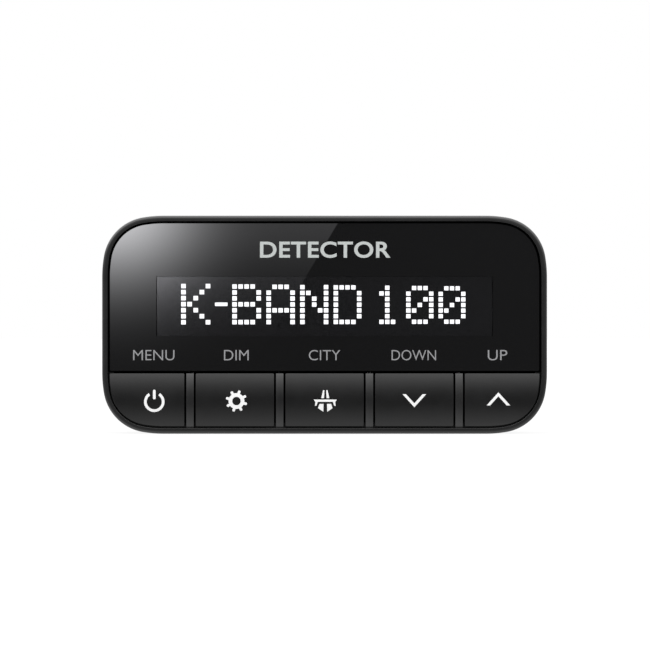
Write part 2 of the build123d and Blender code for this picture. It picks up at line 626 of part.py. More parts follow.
# ---------------------------------------------------------------- assembly
def build():
    add("front_bezel", front_bezel())
    add("rear_housing", rear_housing())
    add("mounting_pad", mounting_pad())
    add("housing_screws", *[cross_head_screw(x, z, HEAD_SEAT_Y, SHELF_BACK_Y + 0.5, SCREW_R, 1.6, 1.0)
                            for x, z in HOUSING_SCREWS])
    add("board_screws", *[cross_head_screw(x, z, BOARD_BACK_Y, SHELF_BACK_Y + 0.6, BOARD_SCREW_R, 1.3, 0.8)
                          for x, z in BOARD_SCREWS])
    add("display_lens", display_lens())
    add("lens_adhesive", lens_adhesive())
    add("display_gasket", display_gasket())
    add("display_cover_glass", display_cover_glass())
    add("display_substrate", display_substrate())
    add("display_holder", display_holder())
    add("display_ribbon", display_ribbon())
    add("ribbon_connector", ribbon_connector())
    add("main_board", main_board())
    add("microcontroller", chip_with_leads(-14.0, 18.5, 7.0, 8))
    add("display_driver", chip_with_leads(0.0, 21.5, 5.0, 6, thickness=1.0))
    add("voltage_regulator", small_regulator(10.5, 11.5))
    add("power_inductor", power_inductor(12.0, 6.5))
    add("quartz_crystal", quartz_crystal(-14.0, 12.0))
    add("ceramic_capacitors", *[two_end_chip(x, z, 1.6, 0.8, 0.8)
                                for x, z in [(-22.0, 21.0), (-22.0, 19.0), (-22.0, 17.0), (-6.5, 21.0),
                                             (6.5, 21.0), (11.0, 15.0), (7.0, 8.5), (17.0, 8.0)]])
    add("chip_resistors", *[two_end_chip(-18.0 + 2.4 * i, 7.0, 1.6, 0.8, 0.45) for i in range(8)])
    add("tantalum_capacitor", chamfer(on_board(17.5, 4.8, 3.5, 2.8, 1.9).edges().filter_by(Axis.Y), 0.2))
    add("link_socket", link_socket())
    add("socket_contacts", *[socket_contact(x, s) for x, s in CONTACTS])
    add("light_baffle", light_baffle())
    for index, (name, sketch, centre, switch_x) in enumerate(KEYS):
        add(f"{name}_key_cap", key_cap(index, name, sketch, centre, switch_x))
        add(f"{name}_key_icon", key_icon(name, sketch, centre, switch_x))
        add(f"{name}_switch_plunger", switch_plunger(switch_x))
        add(f"{name}_switch_body", switch_body(switch_x))
        add(f"{name}_switch_dome", switch_dome(switch_x))
        add(f"{name}_key_led", key_led(led_x(switch_x)))


def main():
    build()
    os.makedirs("parts", exist_ok=True)
    for name, shape in NODES.items():
        export_step(shape, f"parts/{name}.step")


if __name__ == "__main__":
    main()
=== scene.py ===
"""Looks of a radar detector's dash display head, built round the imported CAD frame.

Metres, +Z up, front on -Y.  Sizes are in millimetres and turn into metres where a mesh is made.
"""
import json
import math

import bmesh
import bpy
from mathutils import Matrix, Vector
from mathutils.geometry import tessellate_polygon

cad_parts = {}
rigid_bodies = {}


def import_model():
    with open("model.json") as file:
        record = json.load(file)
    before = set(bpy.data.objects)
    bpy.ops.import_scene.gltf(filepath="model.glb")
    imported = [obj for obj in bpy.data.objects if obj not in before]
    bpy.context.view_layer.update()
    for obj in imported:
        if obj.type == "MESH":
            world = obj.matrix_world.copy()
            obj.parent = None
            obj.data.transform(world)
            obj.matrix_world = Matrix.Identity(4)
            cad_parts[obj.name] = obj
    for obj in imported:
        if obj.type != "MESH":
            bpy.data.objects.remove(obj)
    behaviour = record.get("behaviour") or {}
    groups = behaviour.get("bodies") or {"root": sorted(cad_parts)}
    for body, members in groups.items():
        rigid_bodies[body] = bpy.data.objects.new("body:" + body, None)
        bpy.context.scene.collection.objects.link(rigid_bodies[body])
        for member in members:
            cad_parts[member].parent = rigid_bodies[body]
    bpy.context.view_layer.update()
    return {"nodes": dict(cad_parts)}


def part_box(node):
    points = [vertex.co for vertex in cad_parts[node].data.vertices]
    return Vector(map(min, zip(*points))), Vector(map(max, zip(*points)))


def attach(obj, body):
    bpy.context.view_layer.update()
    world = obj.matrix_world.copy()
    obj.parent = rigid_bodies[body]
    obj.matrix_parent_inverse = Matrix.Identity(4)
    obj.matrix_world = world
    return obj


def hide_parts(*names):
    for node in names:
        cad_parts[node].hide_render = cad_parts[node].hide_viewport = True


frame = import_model()
nodes = frame["nodes"]
MM = 0.001

# ---------------------------------------------------------------- sizes, in millimetres, from the frame
low, high = [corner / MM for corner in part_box("front_bezel")]
CASE_W, CASE_H = high.x - low.x, high.z - low.z
FACE_Y, BEZEL_BACK_Y = low.y, high.y
low, high = [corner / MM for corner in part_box("display_lens")]
LENS_Y, LENS_BACK_Y, LENS_LOW_Z = low.y, high.y, low.z
PANEL_INSET = CASE_W / 2 - high.x            # outline of the lens and the keys
low, high = [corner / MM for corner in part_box("city_key_cap")]
CROWN_Y, KEY_BACK_Y, KEY_LOW_Z = low.y, high.y, low.z
low, high = [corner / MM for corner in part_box("rear_housing")]
CASE_BACK_Y = high.y
low, high = [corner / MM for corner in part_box("display_cover_glass")]
GLASS_Y = low.y

HOUSING_Y = BEZEL_BACK_Y + 0.3               # the parting line is a shadow gap

CORNER_R = 6.7
CORNER_EASE_R, CORNER_EASE = 17.5, math.radians(9.75)    # wider arcs lead into and out of each corner
RIM, RIM_EDGE_R, RIM_INNER_R = 0.78, 0.38, 0.03
RIM_TILT = math.radians(6)                   # slope of the crowned rim where its rounding starts
WALL, SHELF_INSET = 1.5, 2.9
SHELF_Y, SHELF_BACK_Y = LENS_BACK_Y + 0.15, LENS_BACK_Y + 1.05
KEY_ROOM_Y = KEY_BACK_Y + 0.7
BAR_LOW_Z, BAR_TOP_Z = 8.75, 10.6
PART_EDGE_R = 0.08                           # rounding along the parting line
BACK_EDGE_R, CAVITY_BACK_Y = 2.0, 5.0
TONGUE_Y, TONGUE_INSET, TONGUE_T = -0.6, 1.55, 0.75
FLANGE_Y, FLANGE_INSET, FLANGE_REACH = SHELF_BACK_Y + 0.05, 1.65, 0.5
FLANGE_LOW_Z, FLANGE_TOP_Z = 1.6, 9.2
SCREWS = [(sx * 27.1, z) for sx in (-1, 1) for z in (11.4, 24.6)]
HEAD_SEAT_Y, COUNTERBORE_R, SCREW_HOLE_R = 5.2, 1.8, 1.05
SOCKET_Y, SOCKET_Z, SOCKET_HOLE_R, SOCKET_GAP_HALF = 2.1, 18.5, 2.62, 3.4
PAD_W, PAD_H, PAD_RECESS, PAD_CORNER_R = 42.0, 18.4, 0.4, 3.2
KEY_TOP_Z = 8.63
KEY_PITCH, RIB_W, FIT_GAP = 12.7, 1.07, 0.27
RIBS_X = [KEY_PITCH * (i - 1.5) for i in range(4)]
KEY_MID_Z = (KEY_LOW_Z + KEY_TOP_Z) / 2
KEY_CROWN = 0.45
CROWN_R = ((KEY_MID_Z - KEY_LOW_Z) ** 2 + KEY_CROWN ** 2) / (2 * KEY_CROWN)
KEY_SETBACK = 0.015                          # the moulded icons stand this far proud of the caps
RIB_SETBACK, RIB_EDGE_R, RIB_CORNER_R, RIB_FOOT = 0.12, 0.04, 0.06, 0.1
CAP_TOP_Z = KEY_TOP_Z - 0.08                 # leaves a dark line under the lens
KEY_EDGE_R, KEY_CORNER_R = 0.045, 0.16
KEYS = ["menu", "dim", "city", "down", "up"]
LENS_EDGE_R, LENS_LOW_CORNER_R = 0.05, 0.25
WINDOW_W, WINDOW_H, WINDOW_Z, WINDOW_CORNER_R = 47.7, 8.42, 18.08, 0.08
MASK_Y, MASK_BACK_Y = LENS_Y + 0.03, LENS_Y + 0.06              # black film just inside the lens's front
FRAME_Y, FRAME_BACK_Y = LENS_BACK_Y - 0.04, LENS_BACK_Y - 0.01  # black print on its back
MASK_INSET, EDGE_INK_INSET = 0.05, 0.01      # a thin inked ring closes the edge between the two
INK_T = 0.008
LEGEND_H, LEGEND_Z, LEGEND_Y = 1.46, 11.14, MASK_Y - 0.01
LEGENDS = [("MENU", -24.19, 5.86), ("DIM", -12.5, 3.5), ("CITY", 0.0, 4.46), ("DOWN", 12.64, 6.3),
           ("UP", 24.5, 2.76)]               # word, middle and width
DESCRIPTOR_H, DESCRIPTOR_W, DESCRIPTOR_PLACE = 2.33, 18.5, (0.1, 26.08)


# ---------------------------------------------------------------- camera and studio
CAMERA_DISTANCE = 0.6                        # from the front of the case
PICTURE_W = 0.0920                           # width of the picture at the front of the case
CAMERA_X, CAMERA_Z = 0.00006, 0.01541


def add_camera():
    data = bpy.data.cameras.new("camera")
    data.sensor_width = 36
    data.lens = 36 * CAMERA_DISTANCE / PICTURE_W
    data.clip_start, data.clip_end = 0.01, 20
    camera = bpy.data.objects.new("camera", data)
    camera.location = (CAMERA_X, FACE_Y * MM - CAMERA_DISTANCE, CAMERA_Z)
    camera.rotation_euler = (math.pi / 2, 0, 0)
    bpy.context.scene.collection.objects.link(camera)
    bpy.context.scene.camera = camera


def maths(tree, operation, *inputs, clamp=False):
    """A Math node; an input is a number or a socket."""
    node = tree.nodes.new("ShaderNodeMath")
    node.operation = operation
    node.use_clamp = clamp
    for slot, value in zip(node.inputs, inputs):
        if isinstance(value, (int, float)):
            slot.default_value = value
        else:
            tree.links.new(value, slot)
    return node.outputs[0]


def ramp(tree, factor, stops, smooth=True):
    """A ramp of greys: stops are (position, value)."""
    node = tree.nodes.new("ShaderNodeValToRGB")
    node.color_ramp.interpolation = "B_SPLINE" if smooth else "LINEAR"
    elements = node.color_ramp.elements
    while len(elements) < len(stops):
        elements.new(0.5)
    for element, (position, value) in zip(elements, stops):
        element.position = position
        element.color = (value, value, value, 1)
    tree.links.new(factor, node.inputs[0])
    return node.outputs[0]


# Radiance of the studio by elevation in degrees: dark straight ahead, soft light above and below.
STUDIO = [(-90, 1.0), (-45, 1.05), (-28, 1.0), (-20, 0.68), (-12, 0.40), (-6, 0.20), (-2, 0.14), (2, 0.18),
          (6, 0.30), (11, 0.52), (16, 0.88), (24, 1.60), (34, 2.5), (90, 3.0)]
STUDIO_MAX = 3.0
RIGHT_LOSS = 0.25            # the studio's right side is this much darker
SIDE_GAIN, SIDE_POWER = 2.5, 4.0             # brighter bands at eye level on both sides


def add_world():
    """The camera sees white paper; everything else sees the studio."""
    world = bpy.data.worlds.new("studio")
    world.use_nodes = True
    tree = world.node_tree
    tree.nodes.clear()
    direction = tree.nodes.new("ShaderNodeTexCoord").outputs["Generated"]
    axes = tree.nodes.new("ShaderNodeSeparateXYZ")
    tree.links.new(direction, axes.inputs[0])
    elevation = maths(tree, "ARCSINE", axes.outputs["Z"])
    factor = maths(tree, "MULTIPLY_ADD", elevation, 1 / math.pi, 0.5)
    grey = ramp(tree, factor, [((e + 90) / 180, v / STUDIO_MAX) for e, v in STUDIO], smooth=False)
    side = maths(tree, "MULTIPLY_ADD", axes.outputs["X"], -RIGHT_LOSS, 1.0)
    level = maths(tree, "SUBTRACT", 1.0, maths(tree, "ABSOLUTE", axes.outputs["Z"]))
    level = maths(tree, "POWER", level, SIDE_POWER)
    band = maths(tree, "MULTIPLY", level, maths(tree, "ABSOLUTE", axes.outputs["X"]))
    side = maths(tree, "ADD", side, maths(tree, "MULTIPLY", band, SIDE_GAIN))
    strength = maths(tree, "MULTIPLY", side, STUDIO_MAX)
    light = tree.nodes.new("ShaderNodeBackground")
    tree.links.new(grey, light.inputs["Color"])
    tree.links.new(strength, light.inputs["Strength"])
    paper = tree.nodes.new("ShaderNodeBackground")
    paper.inputs["Color"].default_value = (1, 1, 1, 1)
    rays = tree.nodes.new("ShaderNodeLightPath")
    mix = tree.nodes.new("ShaderNodeMixShader")
    tree.links.new(rays.outputs["Is Camera Ray"], mix.inputs[0])
    tree.links.new(light.outputs[0], mix.inputs[1])
    tree.links.new(paper.outputs[0], mix.inputs[2])
    tree.links.new(mix.outputs[0], tree.nodes.new("ShaderNodeOutputWorld").inputs[0])
    bpy.context.scene.world = world


FLOOR_R, FLOOR_GLOW, FLOOR_ALBEDO = 4, 0.90, 0.07


def add_floor():
    """A pale disc that carries a faint contact shadow and runs out of sight."""
    mesh = bpy.data.meshes.new("floor")
    shape = bmesh.new()
    bmesh.ops.create_circle(shape, cap_ends=True, segments=96, radius=FLOOR_R)
    shape.to_mesh(mesh)
    shape.free()
    floor = bpy.data.objects.new("floor", mesh)
    bpy.context.scene.collection.objects.link(floor)
    material = bpy.data.materials.new("floor")
    material.use_nodes = True
    shader = material.node_tree.nodes["Principled BSDF"]
    shader.inputs["Base Color"].default_value = (FLOOR_ALBEDO, FLOOR_ALBEDO, FLOOR_ALBEDO, 1)
    shader.inputs["Roughness"].default_value = 0.9
    shader.inputs["Specular IOR Level"].default_value = 0.0
    shader.inputs["Emission Color"].default_value = (1, 1, 1, 1)
    shader.inputs["Emission Strength"].default_value = FLOOR_GLOW
    mesh.materials.append(material)
    floor.visible_glossy = False


CARD_DISTANCE = 1.5          # from the lens to the card behind the camera
CARD_X, CARD_Z = (-34, 4), (9, 32)           # what the card covers of the lens, in mm on the lens
# The glow falls off to the right and downwards from (x0, z0); places and reaches are in mm on the lens.
GLOW = {"peak": 0.57, "base": 0.033, "x0": -31.0, "x_reach": 10.5, "x_power": 2.1,
        "z0": 30.5, "z_reach": 6.95, "z_power": 1.6}
GLOW_EDGE = ((1.9, 29.85), (-8.4, 12.6))     # two points (x, z) on the glow's cut edge
GLOW_EDGE_BLUR = 0.12
MIRROR = 0.0387              # what the lens reflects head on


def add_glow_card(seen_in):
    """A lit card with a soft corner and one cut edge, seen only in the given pieces' reflections."""
    spread = (CAMERA_DISTANCE + CARD_DISTANCE) / CAMERA_DISTANCE
    y = LENS_Y * MM - CARD_DISTANCE
    mesh = bpy.data.meshes.new("glow_card")
    (x0, x1), (z0, z1) = CARD_X, CARD_Z
    corners = [(x0, z0), (x1, z0), (x1, z1), (x0, z1)]
    points = [(x * MM * spread, y, CAMERA_Z + (z * MM - CAMERA_Z) * spread) for x, z in corners]
    mesh.from_pydata(points, [], [(0, 1, 2, 3)])
    card = bpy.data.objects.new("glow_card", mesh)
    bpy.context.scene.collection.objects.link(card)
    material = bpy.data.materials.new("glow_card")
    material.use_nodes = True
    tree = material.node_tree
    tree.nodes.clear()
    axes = tree.nodes.new("ShaderNodeSeparateXYZ")
    tree.links.new(tree.nodes.new("ShaderNodeTexCoord").outputs["Object"], axes.inputs[0])
    x = maths(tree, "MULTIPLY", axes.outputs["X"], 1 / (MM * spread))
    eye_z = CAMERA_Z / MM * (1 - 1 / spread)
    z = maths(tree, "MULTIPLY_ADD", axes.outputs["Z"], 1 / (MM * spread), eye_z)

    def fade(distance, reach, power):
        share = maths(tree, "DIVIDE", maths(tree, "MAXIMUM", distance, 0.0), reach)
        return maths(tree, "EXPONENT", maths(tree, "MULTIPLY", maths(tree, "POWER", share, power), -1.0))

    across = fade(maths(tree, "SUBTRACT", x, GLOW["x0"]), GLOW["x_reach"], GLOW["x_power"])
    across = maths(tree, "MULTIPLY_ADD", across, GLOW["peak"], GLOW["base"])
    down = fade(maths(tree, "SUBTRACT", GLOW["z0"], z), GLOW["z_reach"], GLOW["z_power"])
    (x1, z1), (x2, z2) = GLOW_EDGE
    lean = (x1 - x2) / (z1 - z2)
    edge_x = maths(tree, "MULTIPLY_ADD", z, lean, x1 - z1 * lean)
    inside = maths(tree, "DIVIDE", maths(tree, "SUBTRACT", edge_x, x), GLOW_EDGE_BLUR, clamp=True)
    glow = maths(tree, "MULTIPLY", maths(tree, "MULTIPLY", across, down), inside)
    lamp = tree.nodes.new("ShaderNodeEmission")
    tree.links.new(maths(tree, "DIVIDE", glow, MIRROR), lamp.inputs["Strength"])
    room = tree.nodes.new("ShaderNodeBsdfTransparent")
    both = tree.nodes.new("ShaderNodeAddShader")
    tree.links.new(lamp.outputs[0], both.inputs[0])
    tree.links.new(room.outputs[0], both.inputs[1])
    tree.links.new(both.outputs[0], tree.nodes.new("ShaderNodeOutputMaterial").inputs[0])
    mesh.materials.append(material)
    card.visible_camera = False
    card.visible_diffuse = False
    card.visible_shadow = False
    card.visible_transmission = False
    receivers = bpy.data.collections.new("glow_receivers")
    for glossy in seen_in:
        receivers.objects.link(glossy)
    card.light_linking.receiver_collection = receivers


# ---------------------------------------------------------------- outlines and meshes
EASE_STEPS, CORNER_STEPS = 8, 30


def corner_arcs(inset):
    """Centre, radius, first and last angle of the top right corner's three arcs, from the top round."""
    a = CORNER_EASE
    spread = CORNER_EASE_R - CORNER_R
    reach = CORNER_EASE_R - spread * (math.cos(a) - math.sin(a))
    top = Vector((CASE_W / 2 - reach, CASE_H - CORNER_EASE_R))
    middle = top + Vector((math.sin(a), math.cos(a))) * spread
    side = middle - Vector((math.cos(a), math.sin(a))) * spread
    right = math.pi / 2
    return [(top, CORNER_EASE_R - inset, right, right - a),
            (middle, CORNER_R - inset, right - a, a),
            (side, CORNER_EASE_R - inset, a, 0.0)]


def arc_points(centre, radius, start, end, count, last=True):
    """An arc in count steps, with or without its last point."""
    steps = range(count + 1 if last else count)
    return [centre + Vector((math.cos(t), math.sin(t))) * radius
            for t in (start + (end - start) * i / count for i in steps)]


def corner_points(inset):
    """The top right corner as (x, z), from the top edge round to the side."""
    ease1, tight, ease2 = corner_arcs(inset)
    points = arc_points(*ease1, EASE_STEPS, last=False) + arc_points(*tight, CORNER_STEPS, last=False)
    return points + arc_points(*ease2, EASE_STEPS)


def case_outline(inset):
    """The whole outline, clockwise from the top edge's right end."""
    corner = corner_points(inset)

    def mirrored(points, sx, sz):
        return [Vector((sx * p.x, CASE_H / 2 + sz * (p.y - CASE_H / 2))) for p in points]

    return (mirrored(corner, 1, 1) + mirrored(corner[::-1], 1, -1)
            + mirrored(corner, -1, -1) + mirrored(corner[::-1], -1, 1))


def box_outline(x0, x1, z0, z1, radius, per_corner=6):
    """A rectangle with round corners, clockwise from the top right."""
    points = []
    for sx, sz, start in ((1, 1, 90), (1, -1, 0), (-1, -1, -90), (-1, 1, -180)):
        x = x1 - radius if sx > 0 else x0 + radius
        z = z1 - radius if sz > 0 else z0 + radius
        a = math.radians(start)
        points += arc_points(Vector((x, z)), radius, a, a - math.pi / 2, per_corner)
    return points


def new_object(name, mesh):
    piece = bpy.data.objects.new(name, mesh)
    bpy.context.scene.collection.objects.link(piece)
    return piece


def loops_to_mesh(name, loops, closed=False, cap_first=False, cap_last=False):
    """Skins loops of (x, y, z) of equal length; closed joins the last loop to the first."""
    shape = bmesh.new()
    rings = [[shape.verts.new(Vector(point) * MM) for point in loop] for loop in loops]
    pairs = list(zip(rings, rings[1:])) + ([(rings[-1], rings[0])] if closed else [])
    count = len(rings[0])
    for a, b in pairs:
        for i in range(count):
            j = (i + 1) % count
            shape.faces.new((a[i], a[j], b[j], b[i]))
    if cap_first:
        shape.faces.new(rings[0][::-1])
    if cap_last:
        shape.faces.new(rings[-1])
    bmesh.ops.recalc_face_normals(shape, faces=shape.faces)
    mesh = bpy.data.meshes.new(name)
    shape.to_mesh(mesh)
    shape.free()
    return mesh


def swept(name, profile, outline=case_outline, **caps):
    """A profile of (inset, y) carried round an outline."""
    return loops_to_mesh(name, [[(p.x, y, p.y) for p in outline(inset)] for inset, y in profile], **caps)


def rounding(y, radius, steps):
    """Profile points of a convex front edge: from the side wall round to the front face at y."""
    points = []
    for i in range(steps + 1):
        t = math.pi / 2 * i / steps
        points.append((radius * (1 - math.cos(t)), y + radius * (1 - math.sin(t))))
    return points


def crown_y(z, setback):
    """Front of the keys at height z, less a setback."""
    lift = math.sqrt(max((CROWN_R - setback) ** 2 - (z - KEY_MID_Z) ** 2, 0))
    return CROWN_Y + CROWN_R - lift


def slice_levels(mesh, z0, z1, count):
    """Cuts the mesh level by level, so that it can take the crown's curve."""
    shape = bmesh.new()
    shape.from_mesh(mesh)
    for i in range(1, count):
        z = (z0 + (z1 - z0) * i / count) * MM
        everything = shape.verts[:] + shape.edges[:] + shape.faces[:]
        bmesh.ops.bisect_plane(shape, geom=everything, dist=1e-8, plane_co=(0, 0, z), plane_no=(0, 0, 1))
    shape.to_mesh(mesh)
    shape.free()


def bend_to_crown(mesh, front_limit, setback):
    """Moves what lies in front of front_limit back onto the crown, from a flat front at CROWN_Y."""
    for vertex in mesh.vertices:
        if vertex.co.y < front_limit * MM:
            vertex.co.y += (crown_y(vertex.co.z / MM, setback) - CROWN_Y) * MM


def crowned_block(name, outline, edge_r, back_y, setback, levels=48):
    """A key cap or rib: sides, a rounded front edge and a crowned front."""
    profile = [(0.0, back_y), *rounding(CROWN_Y, edge_r, steps=5)]
    mesh = loops_to_mesh(name, [[(p.x, y, p.y) for p in outline(inset)] for inset, y in profile],
                         cap_first=True, cap_last=True)
    heights = [vertex.co.z / MM for vertex in mesh.vertices]
    slice_levels(mesh, min(heights), max(heights), levels)
    bend_to_crown(mesh, CROWN_Y + edge_r + 0.01, setback)
    smooth(mesh, 40)
    return mesh


def smooth(mesh, sharp_degrees):
    """Smooth shading, with the edges over an angle kept sharp."""
    for polygon in mesh.polygons:
        polygon.use_smooth = True
    mesh.set_sharp_from_angle(angle=math.radians(sharp_degrees))


def cut_out(mesh, others):
    """The mesh with each of the others cut out of it."""
    base = new_object(mesh.name + "_base", mesh)
    tools = []
    for index, other in enumerate(others):
        tool = new_object(f"{mesh.name}_tool_{index}", other)
        step = base.modifiers.new("cut", "BOOLEAN")
        step.operation, step.solver, step.object = "DIFFERENCE", "EXACT", tool
        tools.append(tool)
    bpy.context.view_layer.update()
    result = bpy.data.meshes.new_from_object(base.evaluated_get(bpy.context.evaluated_depsgraph_get()))
    result.name = mesh.name
    for item in [base, *tools]:
        bpy.data.objects.remove(item)
    return result


def prism(outline, y0, y1):
    """A straight-sided solid from a list of (x, z)."""
    loops = [[(p.x, y, p.y) for p in outline] for y in (y0, y1)]
    return loops_to_mesh("prism", loops, cap_first=True, cap_last=True)


def circle(x, z, radius, count=48):
    """A clockwise circle."""
    return [Vector((x + radius * math.cos(t), z + radius * math.sin(t)))
            for t in (-2 * math.pi * i / count for i in range(count))]


def side_rod(y, z, radius, x0, x1, count=64):
    """A rod along X."""
    angles = [2 * math.pi * i / count for i in range(count)]
    loops = [[(x, y + radius * math.cos(t), z + radius * math.sin(t)) for t in angles] for x in (x0, x1)]
    return loops_to_mesh("rod", loops, cap_first=True, cap_last=True)


def weld(mesh):
    """Joins doubled points and turns all faces outwards."""
    shape = bmesh.new()
    shape.from_mesh(mesh)
    bmesh.ops.remove_doubles(shape, verts=shape.verts, dist=1e-7)
    bmesh.ops.recalc_face_normals(shape, faces=shape.faces)
    shape.to_mesh(mesh)
    shape.free()


def flat_sheet(name, loops, front_y, back_y):
    """A thin closed plate from an outer loop and any holes, each a list of (x, z)."""
    triangles = tessellate_polygon([[Vector((p[0], p[1], 0)) for p in loop] for loop in loops])
    points = [p for loop in loops for p in loop]
    shape = bmesh.new()
    front = [shape.verts.new((p[0] * MM, front_y * MM, p[1] * MM)) for p in points]
    back = [shape.verts.new((p[0] * MM, back_y * MM, p[1] * MM)) for p in points]
    for a, b, c in triangles:
        shape.faces.new((front[a], front[b], front[c]))
        shape.faces.new((back[c], back[b], back[a]))
    start = 0
    for loop in loops:
        count = len(loop)
        for i in range(count):
            a, b = start + i, start + (i + 1) % count
            shape.faces.new((front[a], front[b], back[b], back[a]))
        start += count
    bmesh.ops.recalc_face_normals(shape, faces=shape.faces)
    mesh = bpy.data.meshes.new(name)
    shape.to_mesh(mesh)
    shape.free()
    return mesh


def piece(name, mesh, body, slot, material, replaces=()):
    """Adds a finished mesh that rides on a CAD body."""
    mesh.materials.clear()
    mesh.materials.append(material)
    added = new_object(name, mesh)
    shading = added.modifiers.new("even_shading", "WEIGHTED_NORMAL")
    shading.keep_sharp = True
    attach(added, body)
    if replaces:
        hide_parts(*replaces)
    return added


# ---------------------------------------------------------------- materials
def principled(name, rgb, roughness, ior=1.5):
    """A material with its node tree and its shader."""
    material = bpy.data.materials.new(name)
    material.use_nodes = True
    shader = material.node_tree.nodes["Principled BSDF"]
    shader.inputs["Base Color"].default_value = (*rgb, 1)
    shader.inputs["Roughness"].default_value = roughness
    shader.inputs["IOR"].default_value = ior
    return material, material.node_tree, shader


def noise(tree, scale, detail):
    """Noise of so many cells per mm, fixed to the part."""
    coordinates = tree.nodes.new("ShaderNodeTexCoord").outputs["Object"]
    node = tree.nodes.new("ShaderNodeTexNoise")
    node.inputs["Scale"].default_value = scale / MM
    node.inputs["Detail"].default_value = detail
    node.inputs["Roughness"].default_value = 0.55
    tree.links.new(coordinates, node.inputs["Vector"])
    return node.outputs["Fac"]


def colour_between(tree, factor, first, second):
    mix = tree.nodes.new("ShaderNodeMix")
    mix.data_type = "RGBA"
    tree.links.new(factor, mix.inputs["Factor"])
    mix.inputs["A"].default_value = (*first, 1)
    mix.inputs["B"].default_value = (*second, 1)
    return mix.outputs["Result"]


def bump(tree, shader, height, depth):
    """Relief up to a depth in mm."""
    node = tree.nodes.new("ShaderNodeBump")
    node.inputs["Distance"].default_value = depth * MM
    node.inputs["Strength"].default_value = 1.0
    tree.links.new(height, node.inputs["Height"])
    tree.links.new(node.outputs["Normal"], shader.inputs["Normal"])


def uneven_colour(tree, shader, factor, rgb, spread):
    """A base colour that varies by a share both ways."""
    darker = tuple(c * (1 - spread) for c in rgb)
    lighter = tuple(min(c * (1 + spread), 1) for c in rgb)
    tree.links.new(colour_between(tree, factor, darker, lighter), shader.inputs["Base Color"])


def moulded_plastic(name, rgb, roughness, ior=1.5, grain=0.004, grain_scale=7.0):
    """Moulded plastic with a fine spark-eroded grain and slightly uneven gloss."""
    material, tree, shader = principled(name, rgb, roughness, ior)
    patches = noise(tree, 0.35, detail=2)
    uneven_colour(tree, shader, patches, rgb, 0.25)
    grain_noise = noise(tree, grain_scale, detail=2)
    gloss = maths(tree, "MULTIPLY_ADD", patches, 0.12, roughness - 0.06)
    tree.links.new(maths(tree, "MULTIPLY_ADD", grain_noise, 0.06, gloss), shader.inputs["Roughness"])
    bump(tree, shader, grain_noise, grain)
    return material


def smoked_acrylic():
    """Clear smoked sheet with a faintly uneven tint; the faces right behind it carry its polish."""
    material = bpy.data.materials.new("smoked_acrylic")
    material.use_nodes = True
    tree = material.node_tree
    tree.nodes.clear()
    tint = tree.nodes.new("ShaderNodeBsdfTransparent")
    cloud = noise(tree, 0.2, detail=3)
    tints = colour_between(tree, cloud, (0.745, 0.745, 0.755), (0.755, 0.755, 0.765))
    tree.links.new(tints, tint.inputs["Color"])
    tree.links.new(tint.outputs[0], tree.nodes.new("ShaderNodeOutputMaterial").inputs[0])
    return material


POLISH_IOR = 1.71            # reflects MIRROR through two passes of the tint
GLASS_IOR = 2.6              # the window adds the cover glass's own reflection to the polish


def polished(material, ior=POLISH_IOR):
    """Gives a face behind the lens the lens's mirror reflection."""
    shader = material.node_tree.nodes["Principled BSDF"]
    shader.inputs["Roughness"].default_value = 0.0
    shader.inputs["IOR"].default_value = ior
    shader.inputs["Specular IOR Level"].default_value = 0.5
    return material


def printed_ink(name, rgb, roughness=0.6, specular=0.2):
    """Ink with a fine speckle."""
    material, tree, shader = principled(name, rgb, roughness)
    shader.inputs["Specular IOR Level"].default_value = specular
    uneven_colour(tree, shader, noise(tree, 9.0, detail=2), rgb, 0.1)
    return material


def lit_dot():
    """A lit display dot: light that varies a little from dot to dot."""
    material, tree, shader = principled("lit_dot", (0.8, 0.8, 0.8), 0.5)
    shader.inputs["Emission Color"].default_value = (1, 1, 1, 1)
    cells = noise(tree, 6.0, detail=1)
    tree.links.new(maths(tree, "MULTIPLY_ADD", cells, 0.3, 1.5), shader.inputs["Emission Strength"])
    return material


def moulded_icon():
    """The key icons' pale plastic."""
    material, tree, shader = principled("icon_plastic", (0.70, 0.70, 0.70), 0.4)
    pale = colour_between(tree, noise(tree, 1.5, detail=3), (0.66, 0.66, 0.66), (0.74, 0.74, 0.74))
    tree.links.new(pale, shader.inputs["Base Color"])
    return material


casing = moulded_plastic("casing_plastic", (0.0045, 0.0045, 0.0047), 0.17, ior=1.6, grain=0.0008)
textured_casing = moulded_plastic("textured_casing", (0.006, 0.006, 0.0063), 0.36, grain=0.006,
                                  grain_scale=5)
rib_plastic = moulded_plastic("rib_plastic", (0.0045, 0.0045, 0.0047), 0.16, ior=1.66, grain=0.0008)
key_plastic = moulded_plastic("key_plastic", (0.0035, 0.0035, 0.0036), 0.17, grain=0.0008, grain_scale=8.0)
icon_plastic = moulded_icon()
smoked = smoked_acrylic()
mask_ink = polished(printed_ink("mask_ink", (0.004, 0.004, 0.0041)))
legend_ink = polished(printed_ink("legend_ink", (0.44, 0.44, 0.44)))
display_face = polished(printed_ink("display_face", (0.004, 0.0042, 0.0045)), ior=GLASS_IOR)
# Near-black dull ink: real black print on the window frame and the lens edge, and painted shade on the lens
# shelf and the key flanges deep in the gaps.
black_ink_and_painted_gap_shade = printed_ink("black_ink_and_painted_gap_shade", (0.002, 0.002, 0.002), roughness=0.9, specular=0.05)
silver_ink = printed_ink("silver_ink", (0.405, 0.425, 0.418), roughness=0.35)
dot_light = lit_dot()


